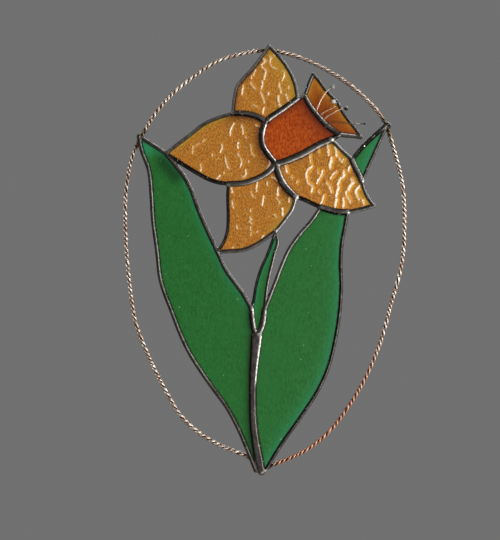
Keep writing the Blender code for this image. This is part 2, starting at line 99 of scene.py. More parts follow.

# How dark each bead's crest is, and how strong the painted highlight on its lit side is; the other beads are
# nearly black
SEAM_TONES = {
    "crown": (0.0, 0.25), "trumpet_top": (0.5, 1.0), "trumpet_back": (0.9, 1.0),
    "trumpet_bottom": (0.45, 0.75), "throat": (0.3, 0.55), "petal_left_lower": (0.05, 0.65),
    "petal_right_lower": (0.5, 1.0), "leaf_right_top": (0.0, 0.3), "leaf_tip_foot": (0.0, 0.45),
    "stem": (0.4, 0.85), "fork_left": (0.5, 0.85), "fork_right": (0.5, 0.5), "petal_top_left": (0.35, 0.1),
    "petal_top_right": (0.3, 0.15), "petal_left_top": (0.25, 0.1), "trumpet_lip": (0.1, 0.35),
    "mouth_bottom": (0.2, 0.9), "petal_right_top": (0.25, 0.35), "petal_right_side": (0.25, 0.25),
    "petal_right_bottom": (0.2, 0.15), "petal_lower_right": (0.3, 0.3), "petal_lower_bottom": (0.2, 0.05),
    "leaf_left_fork": (0.35, 0.12), "leaf_left_outer": (0.5, 0.22), "leaf_right_inner": (0.6, 0.16),
    "stem_glass_right": (0.5, 0.2), "leaf_tip_right": (0.7, 0.0), "mouth_rim": (0.45, 0.0),
    "leaf_right_outer": (0.85, 0.0), "leaf_left_top": (0.35, 0.0), "leaf_left_inner": (0.3, 0.0),
    "mouth_left": (1.0, 0.14),
}
EDGE_TONE = (1.0, 0.0)

# Edge beads with their painted highlight on the side of the glass, the one with a black line there, and seams
# with painted shade below
TURNED_SEAMS = ["leaf_left_outer", "leaf_right_inner", "mouth_bottom", "mouth_left"]
LINED_SEAMS = ["leaf_left_outer"]
SHADED_UNDERSIDES = ["crown", "leaf_right_top"]

# Below this height the stem gets no painted highlight, and painted shade on its lit flank instead
STEM_HIGHLIGHT_END = -233.0
HIGHLIGHT_FADE = 4.0

# Spots on the solder painted pale, for wear and for painted highlights: place and radius
PALE_SPOTS = [
    ((18.9, -102.9), 2.6), ((43.8, -62.2), 2.2), ((65.1, -90.8), 1.6), ((4.9, -126.0), 1.6),
    ((54.9, -113.0), 1.8), ((-4.9, -295.6), 1.1), ((-2.0, -294.2), 1.3), ((-12.0, -181.3), 1.6),
    ((-7.6, -198.6), 1.2)]

# Ring of two wires twisted together: its unevenness as an angle, and the length that this changes over
STRAND_DIAMETER = 1.6 * MM
TWIST_PITCH = 8.0 * MM
UNEVENNESS = [(2.5, 25 * MM), (1.2, 7 * MM)]
STATIONS_PER_TURN = 20

# Stamens
STAMEN_WIRE = 0.6 * MM
STAMEN_STEP = 1.0 * MM
END_SHARE = 0.94

# Corners where seams meet: millimetres to the right of the hanging point, and above it
CORNERS = {
    "top_tip": (0.0, 2.9), "top_left": (-25.4, -44.3), "crown": (-2.2, -50.1), "shoulder": (20.0, -33.8),
    "throat_top": (25.2, -31.6), "heart": (4.8, -79.5), "left_tip": (-72.1, -72.5),
    "left_foot": (-28.4, -93.7), "lower_tip": (-36.2, -141.2), "stem_top": (4.9, -126.8),
    "crotch": (18.9, -102.9), "notch_left": (36.1, -110.1), "notch_right": (54.9, -113.5),
    "right_tip": (73.5, -109.0), "tip_foot": (65.1, -91.5), "tip_heel": (58.2, -76.7),
    "petal_shoulder": (43.6, -62.6), "throat_low": (49.5, -59.2), "mouth_low": (64.3, -61.2),
    "mouth_top": (30.9, -17.1), "leaf_tip": (82.9, -51.9), "leaf_left_tip": (-91.0, -60.2),
    "fork_left": (-12.0, -181.3), "fork_right": (-3.2, -182.0), "fork": (-8.6, -200.5),
    "foot_left": (-9.2, -294.2), "foot": (-5.0, -294.9), "foot_right": (-1.8, -293.3),
}

# Each seam in millimetres: first corner, points it curves through, last corner, widths along it
SEAMS = {
    "petal_top_left": ("top_tip", [(-6.6, -6.5), (-12.1, -13.5), (-18.9, -20.9), (-22.2, -25.0),
        (-24.1, -32.7)], "top_left", [2.2]),
    "petal_top_right": ("top_tip", [(5.6, -3.0), (11.4, -10.2), (15.7, -17.4), (18.4, -24.4)], "shoulder",
        [2.3]),
    "trumpet_top": ("crown", [(1.1, -47.2), (8.1, -42.5), (15.1, -37.5)], "shoulder", [4.0, 3.7, 3.4]),
    "trumpet_lip": ("shoulder", [], "throat_top", [3.0, 2.6]),
    "crown": ("top_left", [(-19.5, -44.3), (-13.2, -45.0), (-7.6, -46.9)], "crown", [3.4, 4.0, 4.0]),
    "petal_left_top": ("left_tip", [(-65.8, -67.3), (-55.3, -59.3), (-44.8, -51.4), (-34.9, -47.1)],
        "top_left", [2.4]),
    "petal_left_bottom": ("left_tip", [(-62.5, -78.6), (-48.6, -87.1), (-41.5, -90.8), (-35.1, -92.8)],
        "left_foot", [2.8]),
    "petal_left_lower": ("left_foot", [(-20.2, -93.3), (-12.5, -91.6), (-5.5, -88.7), (-0.2, -85.2)], "heart",
        [3.6, 3.8, 4.0]),
    "trumpet_back": ("crown", [(-4.2, -55.2), (-5.0, -61.5), (-3.7, -68.1), (0.0, -73.6)], "heart", [4.0]),
    "trumpet_bottom": ("heart", [(9.8, -78.3), (16.0, -76.0), (22.9, -73.0), (36.9, -65.3)], "petal_shoulder",
        [4.2, 4.6, 4.2]),
    "trumpet_chin": ("petal_shoulder", [], "throat_low", [3.4]),
    "throat": ("throat_top", [(26.8, -35.7), (30.0, -40.7), (34.2, -46.1), (39.1, -51.4), (44.1, -55.6)],
        "throat_low", [3.3, 3.6, 3.6]),
    "mouth_left": ("throat_top", [(26.5, -28.2), (28.3, -23.0)], "mouth_top", [2.5]),
    "mouth_rim": ("mouth_top", [(34.4, -20.9), (37.9, -25.8), (42.8, -31.6), (47.6, -36.3), (51.3, -43.1),
        (56.2, -49.9), (60.4, -55.1)], "mouth_low", [2.0]),
    "mouth_bottom": ("throat_low", [(54.0, -59.7), (58.9, -60.2)], "mouth_low", [3.6, 2.6]),
    "petal_right_top": ("petal_shoulder", [(47.4, -66.5), (52.6, -71.7)], "tip_heel", [2.5]),
    "leaf_tip_foot": ("tip_heel", [(60.2, -81.8), (62.7, -86.6)], "tip_foot", [4.0]),
    "petal_right_side": ("tip_foot", [(66.4, -96.8), (68.9, -102.6)], "right_tip", [2.5]),
    "petal_right_bottom": ("right_tip", [(67.3, -110.8), (61.0, -112.4)], "notch_right", [2.9]),
    "leaf_right_top": ("notch_right", [(48.4, -113.3), (42.1, -112.0)], "notch_left", [4.3]),
    "petal_right_under": ("notch_left", [(30.0, -107.3), (24.5, -104.7)], "crotch", [2.9]),
    "petal_right_lower": ("heart", [(5.9, -84.1), (8.3, -90.6), (12.1, -96.4)], "crotch", [4.6, 4.8, 4.4]),
    "petal_lower_right": ("crotch", [(16.3, -111.4), (10.9, -119.4)], "stem_top", [2.5]),
    "petal_lower_bottom": ("stem_top", [(-2.4, -132.0), (-10.1, -136.9), (-17.2, -139.8), (-26.5, -140.8)],
        "lower_tip", [2.7]),
    "petal_lower_left": ("left_foot", [(-28.9, -101.4), (-28.6, -117.5), (-29.2, -126.6), (-31.5, -133.9)],
        "lower_tip", [2.1]),
    "leaf_left_top": ("leaf_left_tip", [(-82.9, -65.4)], "left_tip", [2.5]),
    "leaf_left_inner": ("left_tip", [(-65.7, -80.3), (-59.4, -88.4), (-54.7, -97.2), (-49.3, -111.9)],
        "lower_tip", [2.8]),
    "leaf_left_fork": ("lower_tip", [(-29.7, -154.6), (-24.6, -161.8), (-19.6, -168.4), (-15.6, -174.8)],
        "fork_left", [2.6, 2.8, 3.2]),
    "fork_left": ("fork_left", [(-11.6, -188.5), (-10.6, -194.8)], "fork", [3.4, 3.6, 3.7]),
    "stem": ("fork", [(-9.5, -210.2), (-11.0, -229.5), (-11.3, -241.7), (-10.3, -265.9), (-8.2, -279.9)],
        "foot", [7.6, 6.9, 5.8, 4.9, 5.0, 5.3, 5.7, 6.2, 5.4]),
    "leaf_left_outer": ("leaf_left_tip", [(-89.0, -70.1), (-84.0, -84.0), (-82.3, -99.4), (-81.1, -118.9),
        (-78.3, -140.0), (-75.7, -161.1), (-68.3, -182.2), (-56.5, -210.3), (-43.1, -231.2), (-28.2, -252.1),
        (-20.9, -266.0), (-14.9, -280.0)], "foot_left", [3.0]),
    "foot_left": ("foot_left", [], "foot", [2.3]),
    "foot_right": ("foot", [], "foot_right", [2.4]),
    "leaf_right_inner": ("notch_left", [(30.3, -118.8), (21.2, -129.3), (13.9, -139.8), (9.1, -150.4),
        (5.1, -160.9)], "fork_right", [2.7]),
    "fork_right": ("fork_right", [(-4.0, -188.5), (-5.5, -194.8)], "fork", [3.7, 4.3, 4.0]),
    "stem_glass_left": ("stem_top", [(2.4, -133.6), (-1.3, -143.4), (-5.9, -153.9), (-9.0, -164.4),
        (-10.8, -174.9)], "fork_left", [1.9]),
    "stem_glass_right": ("stem_top", [(6.3, -133.6), (3.8, -143.4), (-1.0, -164.4)], "fork_right", [2.1]),
    "leaf_right_outer": ("notch_right", [(53.5, -121.7), (51.3, -133.6), (50.2, -148.3), (50.6, -165.1),
        (49.6, -181.9), (46.4, -202.9), (40.9, -223.9), (34.5, -237.8), (25.7, -251.7), (6.3, -279.7)],
        "foot_right", [2.7]),
    "leaf_tip_left": ("tip_heel", [(64.9, -68.5), (73.2, -60.4)], "leaf_tip", [3.0]),
    "leaf_tip_right": ("leaf_tip", [(77.3, -64.1), (71.8, -76.4)], "tip_foot", [2.2]),
}

# The seams round each pane, in order
PANES = {
    "glass_petal_top": ["petal_top_left", "crown", "trumpet_top", "petal_top_right"],
    "glass_petal_left": ["petal_left_top", "crown", "trumpet_back", "petal_left_lower", "petal_left_bottom"],
    "glass_petal_lower": ["petal_left_lower", "petal_right_lower", "petal_lower_right", "petal_lower_bottom",
        "petal_lower_left"],
    "glass_petal_right": ["trumpet_bottom", "petal_right_top", "leaf_tip_foot", "petal_right_side",
        "petal_right_bottom", "leaf_right_top", "petal_right_under", "petal_right_lower"],
    "glass_trumpet": ["trumpet_top", "trumpet_lip", "throat", "trumpet_chin", "trumpet_bottom",
        "trumpet_back"],
    "glass_trumpet_mouth": ["mouth_left", "mouth_rim", "mouth_bottom", "throat"],
    "glass_leaf_left": ["leaf_left_top", "leaf_left_inner", "leaf_left_fork", "fork_left", "stem",
        "foot_left", "leaf_left_outer"],
    "glass_leaf_right": ["leaf_right_top", "leaf_right_inner", "fork_right", "stem", "foot_right",
        "leaf_right_outer"],
    "glass_leaf_tip": ["leaf_tip_left", "leaf_tip_right", "leaf_tip_foot"],
    "glass_stem": ["stem_glass_left", "fork_left", "fork_right", "stem_glass_right"],
}

# The ring's centre line in millimetres, clockwise from the foot of the panel
RING_ROUTE = [
    (-6.5, -289.8), (-14.0, -285.3), (-30.8, -278.6), (-46.8, -269.8), (-61.0, -257.2), (-71.1, -241.2),
    (-84.0, -215.2), (-93.2, -191.7), (-97.4, -166.5), (-100.0, -137.9), (-100.7, -118.6), (-99.5, -92.5),
    (-95.8, -75.0), (-87.4, -56.6), (-73.1, -36.0), (-54.6, -19.6), (-37.0, -8.0), (-20.2, -2.4), (0.0, 0.0),
    (14.3, -2.5), (31.9, -9.1), (51.2, -20.0), (67.2, -33.0), (80.2, -48.2), (88.2, -71.3), (93.2, -91.0),
    (95.1, -118.9), (92.8, -151.6), (86.2, -175.8), (77.8, -205.7), (68.5, -228.1), (55.1, -250.8),
    (42.3, -267.3), (24.6, -281.1), (7.8, -288.7), (-2.6, -292.8)]

# Solder lumps that hold the ring at the top, left, right and foot: place in millimetres, and radius
RING_HOLDS = [
    ((0.0, 0.4), 2.5), ((-90.2, -61.6), 2.4), ((83.0, -53.0), 2.6), ((-9.8, -289.0), 2.6),
    ((-3.6, -292.6), 2.8)]

# Each stamen: its wire's points as millimetres right, above and in front of the glass, and its end's radius
STAMENS = {
    "stamen_1": ([(32.9, -43.9, 0.9), (33.2, -43.0, 2.2), (34.6, -39.3, 3.2), (36.2, -35.6, 3.5),
        (38.3, -32.1, 3.6), (40.6, -28.8, 3.6), (44.4, -26.0, 3.2)], 1.9),
    "stamen_2": ([(35.5, -46.9, 0.9), (35.9, -46.1, 2.1), (38.0, -44.2, 3.0), (41.4, -42.3, 3.4),
        (45.2, -40.4, 3.6), (47.2, -38.6, 3.6), (46.6, -36.8, 3.2), (45.2, -36.2, 2.9)], 1.65),
    "stamen_3": ([(38.1, -49.7, 0.9), (38.6, -48.9, 2.1), (40.8, -46.7, 2.8), (44.2, -44.7, 3.1),
        (50.5, -41.6, 3.2), (54.0, -41.0, 3.0)], 1.7),
    "stamen_4": ([(40.9, -52.4, 0.9), (41.8, -51.8, 2.1), (44.4, -51.0, 3.0), (49.8, -51.0, 3.4),
        (58.2, -51.8, 3.6), (66.9, -51.8, 3.4)], 0.85),
}

# Crests of the waves in each petal's glass, with painted highlights along them: width, then points in
# millimetres
GLINTS = {
    "glass_petal_top": [
        (1.4, (-3.8, -6.1), (-2.3, -8.2), (-5.0, -10.2), (-4.8, -11.8), (-2.9, -13.6), (-2.0, -15.0),
            (-2.2, -16.8), (-3.1, -18.6), (-3.2, -20.4)),
        (1.1, (0.7, -5.0), (2.0, -5.9), (1.0, -7.1), (1.0, -10.0), (2.3, -11.8), (5.5, -13.4)),
        (1.0, (3.4, -3.1), (4.1, -4.1)), (1.0, (-9.2, -13.9), (-10.1, -15.7), (-10.6, -17.6)),
        (1.0, (-12.2, -18.1), (-12.1, -19.9)),
        (1.2, (10.9, -14.8), (10.8, -17.2), (10.6, -19.0), (9.3, -21.3)),
        (1.1, (-12.6, -23.1), (-11.3, -25.3), (-9.4, -27.4)),
        (1.5, (-4.3, -22.0), (-4.5, -24.0), (-5.0, -26.9)),
        (1.4, (-18.0, -25.1), (-18.3, -27.6), (-18.8, -31.2)),
        (1.1, (-5.9, -29.4), (-4.8, -31.6), (-3.8, -34.1), (-3.1, -37.0)),
        (1.3, (-0.3, -29.7), (-0.3, -31.2)), (1.3, (7.3, -23.3), (7.3, -25.8), (8.4, -28.0), (8.3, -29.7)),
        (0.8, (14.0, -25.5), (13.8, -26.9)), (1.3, (12.0, -31.2), (12.9, -33.3), (13.6, -35.3)),
        (1.7, (6.8, -32.6), (6.8, -35.1), (7.3, -37.3), (8.4, -39.5)),
        (0.7, (-11.5, -38.0), (-9.5, -39.1), (-8.1, -40.0)),
        (1.4, (-3.4, -40.4), (-3.8, -42.3), (-4.0, -44.0))],
    "glass_petal_left": [(1.3, (-24.4, -51.2), (-26.0, -54.2), (-27.0, -57.3), (-27.0, -59.6)),
        (1.4, (-19.0, -52.9), (-18.3, -55.3), (-18.1, -58.7)), (0.8, (-16.3, -60.8), (-16.0, -61.6)),
        (1.1, (-9.0, -52.5), (-8.4, -53.3)), (0.9, (-45.1, -62.5), (-46.3, -64.3)),
        (0.8, (-48.4, -65.1), (-50.5, -66.6)), (0.9, (-52.8, -67.4), (-53.5, -70.0), (-53.3, -72.3)),
        (1.3, (-33.0, -66.1), (-32.5, -68.2), (-33.9, -71.5)),
        (1.4, (-21.3, -65.1), (-21.8, -66.6), (-21.7, -68.5)),
        (1.1, (-21.8, -72.5), (-20.3, -74.9), (-19.0, -77.4), (-19.0, -79.0), (-19.9, -81.8)),
        (0.8, (-12.8, -66.1), (-12.5, -69.7), (-11.8, -72.5), (-10.0, -74.3)),
        (0.8, (-39.5, -73.0), (-39.7, -74.3)),
        (1.3, (-30.4, -75.1), (-30.0, -78.5), (-28.8, -81.8), (-27.8, -83.2)),
        (0.8, (-14.1, -77.7), (-14.3, -78.7)), (1.1, (-47.7, -80.3), (-47.4, -82.1), (-47.7, -84.7)),
        (1.0, (-31.2, -85.5), (-31.4, -86.4)), (1.3, (-33.9, -87.8), (-36.3, -89.8)),
        (1.3, (-16.2, -84.1), (-15.9, -86.2), (-16.7, -88.1), (-18.3, -89.3)),
        (0.9, (0.3, -77.4), (0.8, -79.5), (-1.2, -82.9))],
    "glass_petal_lower": [(1.3, (-26.4, -96.5), (-25.6, -99.5)),
        (1.2, (-8.1, -91.9), (-8.5, -95.0), (-8.6, -98.8)), (1.0, (-1.0, -92.3), (-1.1, -95.0)),
        (1.1, (-12.5, -99.5), (-11.7, -101.5), (-10.6, -103.0)),
        (1.4, (6.6, -96.5), (6.0, -98.8), (6.4, -101.5)),
        (1.4, (-3.7, -102.6), (-4.1, -105.7), (-4.5, -108.5)),
        (1.0, (-25.5, -105.3), (-25.5, -107.9), (-24.8, -110.2)), (1.1, (14.2, -103.7), (14.0, -106.4)),
        (0.8, (4.7, -103.4), (6.8, -105.3), (7.9, -106.8), (7.0, -107.9)),
        (1.5, (9.7, -111.0), (9.7, -113.3), (9.7, -115.2)), (1.1, (-12.7, -111.4), (-12.9, -113.1)),
        (0.9, (3.7, -114.8), (5.2, -117.5)),
        (1.2, (-13.2, -116.8), (-12.1, -119.0), (-13.6, -119.8), (-12.1, -121.3)),
        (0.9, (-22.6, -122.8), (-22.0, -124.7)),
        (0.8, (-12.7, -123.6), (-12.9, -125.5), (-12.3, -127.8), (-12.7, -129.7)),
        (0.8, (-8.1, -126.6), (-8.3, -127.5)), (1.1, (-3.5, -129.7), (-4.8, -131.4)),
        (1.0, (-24.5, -137.7), (-25.8, -138.7)), (0.9, (2.0, -88.9), (3.9, -89.7), (5.8, -91.6))],
    "glass_petal_right": [(0.7, (28.8, -72.3), (28.6, -75.1), (29.1, -78.9), (29.7, -80.7)),
        (1.6, (30.0, -81.7), (27.2, -84.1), (26.2, -86.4), (26.5, -89.7), (27.2, -93.0), (30.0, -94.9),
            (30.7, -96.3), (29.8, -99.1)), (1.4, (11.7, -81.2), (12.2, -83.1), (12.4, -85.5)),
        (1.0, (15.5, -88.8), (16.4, -89.6)), (0.8, (19.9, -91.7), (19.5, -93.1)),
        (1.8, (41.1, -67.5), (41.6, -69.9), (41.9, -73.2)),
        (2.0, (44.0, -75.6), (43.7, -77.9), (42.8, -80.3), (43.0, -82.2)),
        (1.6, (46.3, -67.5), (47.2, -69.9), (47.5, -74.2)),
        (1.3, (49.3, -76.0), (50.8, -78.4), (52.2, -76.5)), (1.6, (56.4, -81.7), (55.5, -84.6)),
        (1.4, (37.4, -84.6), (36.9, -87.4), (34.8, -90.6), (33.6, -93.0)),
        (0.8, (33.8, -83.6), (34.1, -86.4)), (1.4, (47.0, -85.0), (44.2, -87.8), (43.3, -89.9)),
        (1.9, (52.4, -85.5), (52.6, -87.8), (49.8, -90.6), (48.4, -93.9), (48.9, -96.8), (47.9, -99.1),
            (47.2, -102.0), (47.2, -104.8), (46.5, -109.1)),
        (1.5, (40.4, -93.0), (42.3, -95.3), (43.7, -99.6)),
        (2.0, (57.8, -90.6), (59.3, -93.0), (56.9, -95.3), (55.9, -97.7)),
        (1.7, (54.1, -98.7), (54.3, -101.5), (55.9, -104.3), (56.9, -106.2)),
        (1.9, (63.0, -95.8), (60.7, -98.7), (61.6, -101.5), (63.0, -104.3)),
        (1.7, (52.2, -103.9), (52.6, -106.2), (52.2, -110.0)),
        (1.4, (38.5, -101.5), (37.8, -104.3), (36.4, -108.1)), (1.7, (65.9, -105.3), (66.4, -107.6)),
        (0.8, (34.5, -98.7), (35.2, -100.1)), (0.8, (34.5, -70.4), (34.8, -71.8))],
}

# Each pane's look: slot, voxel, height and patch of its ripple, seams and reach of its lighter tint, and
# seams and reach of its shade
PETAL = ("amber_glass", PETAL_VOXEL, 0.12, (4.5, 8.0))
LEAF = ("green_glass", LEAF_VOXEL, 0.06, (9.0, 14.0))
PANE_LOOKS = {
    "glass_petal_top": (*PETAL, (["petal_top_right"], 5.5), (["petal_top_left"], 1.2)),
    "glass_petal_left": (*PETAL, (["petal_left_top"], 1.5), (["trumpet_back", "crown"], 4.0)),
    "glass_petal_lower": (*PETAL, (["petal_lower_right"], 2.5), (["petal_right_lower"], 2.6)),
    "glass_petal_right": (
        "amber_glass", PETAL_VOXEL, 0.16, (3.6, 9.0), (["petal_right_side", "petal_right_top"], 3.4),
        (["leaf_tip_foot", "trumpet_bottom"], 1.1)),
    "glass_trumpet": (
        "red_orange_glass", PETAL_VOXEL, 0.05, (6.0, 9.0), ([], 1.0), (["throat", "trumpet_lip"], 5.6)),
    "glass_trumpet_mouth": (
        "orange_glass", PETAL_VOXEL, 0.05, (6.0, 9.0), (["mouth_left", "mouth_rim"], 3.0),
        (["mouth_bottom"], 3.5)),
    "glass_leaf_left": (
        *LEAF, (["leaf_left_top", "leaf_left_inner", "leaf_left_fork"], 1.8), (["fork_left", "stem"], 2.2)),
    "glass_leaf_right": (*LEAF, (["leaf_right_outer"], 3.0), ([], 1.0)),
    "glass_leaf_tip": ("green_glass", PETAL_VOXEL, 0.05, (9.0, 14.0), (["leaf_tip_right"], 4.0), ([], 1.0)),
    "glass_stem": ("green_glass", PETAL_VOXEL, 0.05, (6.0, 9.0), (["stem_glass_left"], 1.5), ([], 1.0)),
}

# Lines on a pane round which its glass is lighter or darker, each with its reach
TINTED_LINES = {"glass_leaf_left": ([(-90.0, -62.0), (-85.0, -69.0)], 9.0)}
SHADED_LINES = {
    "glass_leaf_left": ([(-73.5, -78.5), (-65.0, -88.0)], 9.5),
    "glass_trumpet": ([(-2.2, -48.6), (24.3, -33.6)], 8.0),
}
LINE_SHADE = 0.75

# How strong the painted glowing light beside the waves is on each pane
PAINTED_GLOW = {"glass_petal_right": 1.0}
FAINT_PAINTED_GLOW = 0.35

# How far along a stamen's reach its wire is dull, ends that are pale, and black spots: place and radius
DULL_SHARES = {"stamen_4": 0.72}
PALE_ENDS = ["stamen_2"]
BLACK_SPOTS = {
    "stamen_2": ((46.9, -38.6), 0.9), "stamen_3": ((53.6, -42.4), 2.0), "stamen_4": ((66.4, -51.8), 3.2)}

# View and stage: lengths in metres, the sensor in millimetres, colours as seen on screen
VIEW_CENTER = Vector((-13.2 * MM, -PANEL_OFFSET, -153.9 * MM))
VIEW_HEIGHT = 378 * MM
CAMERA_DISTANCE = 1.8
SENSOR = 36.0
FLOOR_HEIGHT = -0.9
FLOOR_RADIUS = 1.5
FLOOR_COLOR = (214, 213, 210)
AIR_COLOR = (112, 112, 112)
GAMMA = 2.2

# Each light: degrees to the right of the panel's front and above it, distance, width and height, and power
LIGHTS = {
    "key": (32, -8, 1.4, 0.5, 0.8, 12.2),
    "side": (74, -14, 1.2, 0.4, 0.7, 6.8),
    "upper side": (70, 38, 1.2, 0.3, 0.5, 3.5),
    "fill": (-62, 30, 1.5, 0.7, 0.9, 6.1),
    "top": (0, 62, 1.4, 1.0, 0.6, 1.8),
    "back": (165, 25, 1.6, 0.9, 0.9, 12),
}

# Points and paths

def place(point, front=0.0):
    """A point given in millimetres across, up and in front of the panel's middle plane."""
    return Vector((point[0] * MM, -PANEL_OFFSET - front * MM, point[1] * MM))


def flat(places):
    """Places in space as millimetres across and up."""
    return np.array(places)[:, [0, 2]] / MM


def smooth_path(points, step):
    """Points about one step apart on a smooth curve through the given ones."""
    chords = [b - a for a, b in zip(points, points[1:])]
    tangents = [chords[0].normalized()]
    for before, after in zip(chords, chords[1:]):
        share = before.length / (before.length + after.length)
        tangents.append(before.normalized() * (1 - share) + after.normalized() * share)
    tangents.append(chords[-1].normalized())
    path = []
    for start, chord, leave, arrive in zip(points, chords, tangents, tangents[1:]):
        length = chord.length
        count = max(1, round(length / step))
        for i in range(count):
            t = i / count
            path.append(
                start + chord * (3 * t ** 2 - 2 * t ** 3)
                + leave * length * (t - 2 * t ** 2 + t ** 3)
                + arrive * length * (t ** 3 - t ** 2))
    path.append(points[-1].copy())
    return path


def neighbours(path):
    """Each point of a path, between the ones before and after it."""
    return zip(path[:1] + path, path, path[1:] + path[-1:])


def seam_path(name):
    first, points, last, _ = SEAMS[name]
    corners = [CORNERS[first], *points, CORNERS[last]]
    return smooth_path([place(point) for point in corners], PATH_STEP)


def width_at(widths, share):
    """The width this far along a seam, between the widths listed at even spacing."""
    return np.interp(share * (len(widths) - 1), range(len(widths)), widths)


def pane_loop(seams):
    """The closed loop of seam centre lines round a pane."""
    paths = [seam_path(name) for name in seams]
    if min((paths[0][0] - end).length for end in (paths[1][0], paths[1][-1])) < MM:
        paths[0].reverse()
    loop = []
    end = paths[0][0]
    for path in paths:
        if (path[0] - end).length > MM:
            path.reverse()
        loop += path[:-1]
        end = path[-1]
    return loop


def area(loop):
    """Twice the area inside a loop, positive where it runs anticlockwise as seen from the front."""
    return sum(a.x * b.z - b.x * a.z for a, b in zip(loop, loop[1:] + loop[:1]))


def inset_loop(loop, distance):
    """The loop moved inwards, with what would cross at its sharp tips left out."""
    if area(loop) < 0:
        loop = loop[::-1]
    inset = []
    for before, corner, after in zip(loop[-1:] + loop, loop, loop[1:] + loop[:1]):
        arriving = (corner - before).normalized()
        leaving = (after - corner).normalized()
        inward = Vector((-arriving.z - leaving.z, 0, arriving.x + leaving.x)).normalized()
        spread = inward.dot(Vector((-leaving.z, 0, leaving.x)))
        inset.append(corner + inward * distance / spread)
    clear = line_distance(flat(inset), flat([*loop, loop[0]])) * MM > KEPT_SHARE * distance
    return [corner for corner, kept in zip(inset, clear) if kept]


# Meshes

def worked(work):
    """The mesh of what was worked on."""
    mesh = bpy.data.meshes.new("mesh")
    work.to_mesh(mesh)
    work.free()
    return mesh


def mesh_of(item):
    """The mesh that an object shows, with its modifiers applied and the object removed."""
    bpy.context.view_layer.update()
    evaluated = item.evaluated_get(bpy.context.evaluated_depsgraph_get())
    mesh = bpy.data.meshes.new_from_object(evaluated)
    mesh.transform(item.matrix_world)
    bpy.data.objects.remove(item, do_unlink=True)
    work = bmesh.new()
    work.from_mesh(mesh)
    bmesh.ops.remove_doubles(work, verts=work.verts, dist=WELD_DISTANCE)
    bmesh.ops.recalc_face_normals(work, faces=work.faces)
    work.to_mesh(mesh)
    work.free()
    return mesh


def link(name, data):
    item = bpy.data.objects.new(name, data)
    bpy.context.scene.collection.objects.link(item)
    return item


def curve(dimensions, points):
    """A curve's data with one line of straight stretches through the points, and that line."""
    data = bpy.data.curves.new("curve", "CURVE")
    data.dimensions = dimensions
    line = data.splines.new("POLY")
    line.points.add(len(points) - 1)
    for point, position in zip(line.points, points):
        point.co = (*position, 1)
    return data, line


def tube(path, diameter, resolution):
    """The mesh of a round wire along a path."""
    data, _ = curve("3D", path)
    data.bevel_depth = diameter / 2
    data.bevel_resolution = resolution
    data.use_fill_caps = True
    data.twist_mode = "MINIMUM"
    return mesh_of(link("tube", data))


def plate(loop, thickness):
    """The mesh of a flat sheet with the loop's outline, centred on the panel's middle plane."""
    data, outline = curve("2D", [(corner.x, corner.z, 0) for corner in loop])
    outline.use_cyclic_u = True
    data.fill_mode = "BOTH"
    data.extrude = thickness / 2
    item = link("plate", data)
    item.rotation_euler = (pi / 2, 0, 0)
    item.location = (0, -PANEL_OFFSET, 0)
    return mesh_of(item)


def ball(center, radius):
    work = bmesh.new()
    bmesh.ops.create_icosphere(work, subdivisions=3, radius=radius, matrix=Matrix.Translation(center))
    return worked(work)


def joined(meshes):
    """One mesh that holds all the given ones."""
    work = bmesh.new()
    for mesh in meshes:
        work.from_mesh(mesh)
        bpy.data.meshes.remove(mesh)
    return worked(work)


def fused(mesh, voxel, smooth_steps=0):
    """The mesh melted into one even skin."""
    item = link("fused", mesh)
    remesh = item.modifiers.new("skin", "REMESH")
    remesh.mode = "VOXEL"
    remesh.voxel_size = voxel
    if smooth_steps:
        smooth = item.modifiers.new("smooth", "SMOOTH")
        smooth.iterations = smooth_steps
    return mesh_of(item)


def vectors(layer, key):
    """Every vector of a mesh's layer, as rows of x, y and z."""
    values = np.empty(len(layer) * 3, np.float32)
    layer.foreach_get(key, values)
    return values.reshape(-1, 3).astype(float)


def coordinates(mesh):
    return vectors(mesh.vertices, "co")


def normals(mesh):
    return vectors(mesh.vertex_normals, "vector")


def move_vertices(mesh, places):
    mesh.vertices.foreach_set("co", places.astype(np.float32).ravel())
    mesh.update()


def paint(mesh, name, values):
    """Keeps one number for each vertex, which a material reads by this name."""
    layer = mesh.attributes.new(name, "FLOAT", "POINT")
    layer.data.foreach_set("value", np.asarray(values, np.float32))


def piece(name, mesh, material, slot, *nodes):
    """A finished object that stands for the given solids."""
    mesh.materials.clear()
    mesh.materials.append(material)
    mesh.shade_smooth()
    item = link(name, mesh)
    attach(item, "root")
    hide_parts(*nodes)


# Fields over the panel, all in millimetres

def field(points, size_x, size_z, seed):
    """Soft random values from -1 to 1 with patches of about this size."""
    return np.array([noise.noise((x / size_x, z / size_z, seed)) for x, z in points])


def ease(values, low, high):
    """0 below low, 1 above high, smooth between."""
    share = np.clip((values - low) / (high - low), 0, 1)
    return share ** 2 * (3 - 2 * share)


def spot_distance(points, spot):
    return np.linalg.norm(points - spot, axis=1)


def near_spots(points, spots):
    """1 within each spot's first reach, falling to 0 at its second."""
    return np.max([1 - ease(spot_distance(points, spot), near, far) for spot, near, far in spots], axis=0)


def line_sides(points, line):
    """How far each point lies from a line of straight stretches, and how far out on its lit side."""
    nearest = np.full(len(points), np.inf)
    side = np.zeros(len(points))
    for start, end in zip(line, line[1:]):
        start = np.array(start, float)
        along = np.array(end, float) - start
        share = np.clip((points - start) @ along / (along @ along), 0, 1)
        offset = points - start - share[:, None] * along
        distance = np.linalg.norm(offset, axis=1)
        normal = np.array((-along[1], along[0])) / np.linalg.norm(along)
        normal *= np.sign(normal @ LIT_SIDE)
        closer = distance < nearest
        nearest[closer] = distance[closer]
        side[closer] = (offset @ normal)[closer]
    return nearest, side


def line_distance(points, line):
    return line_sides(points, line)[0]


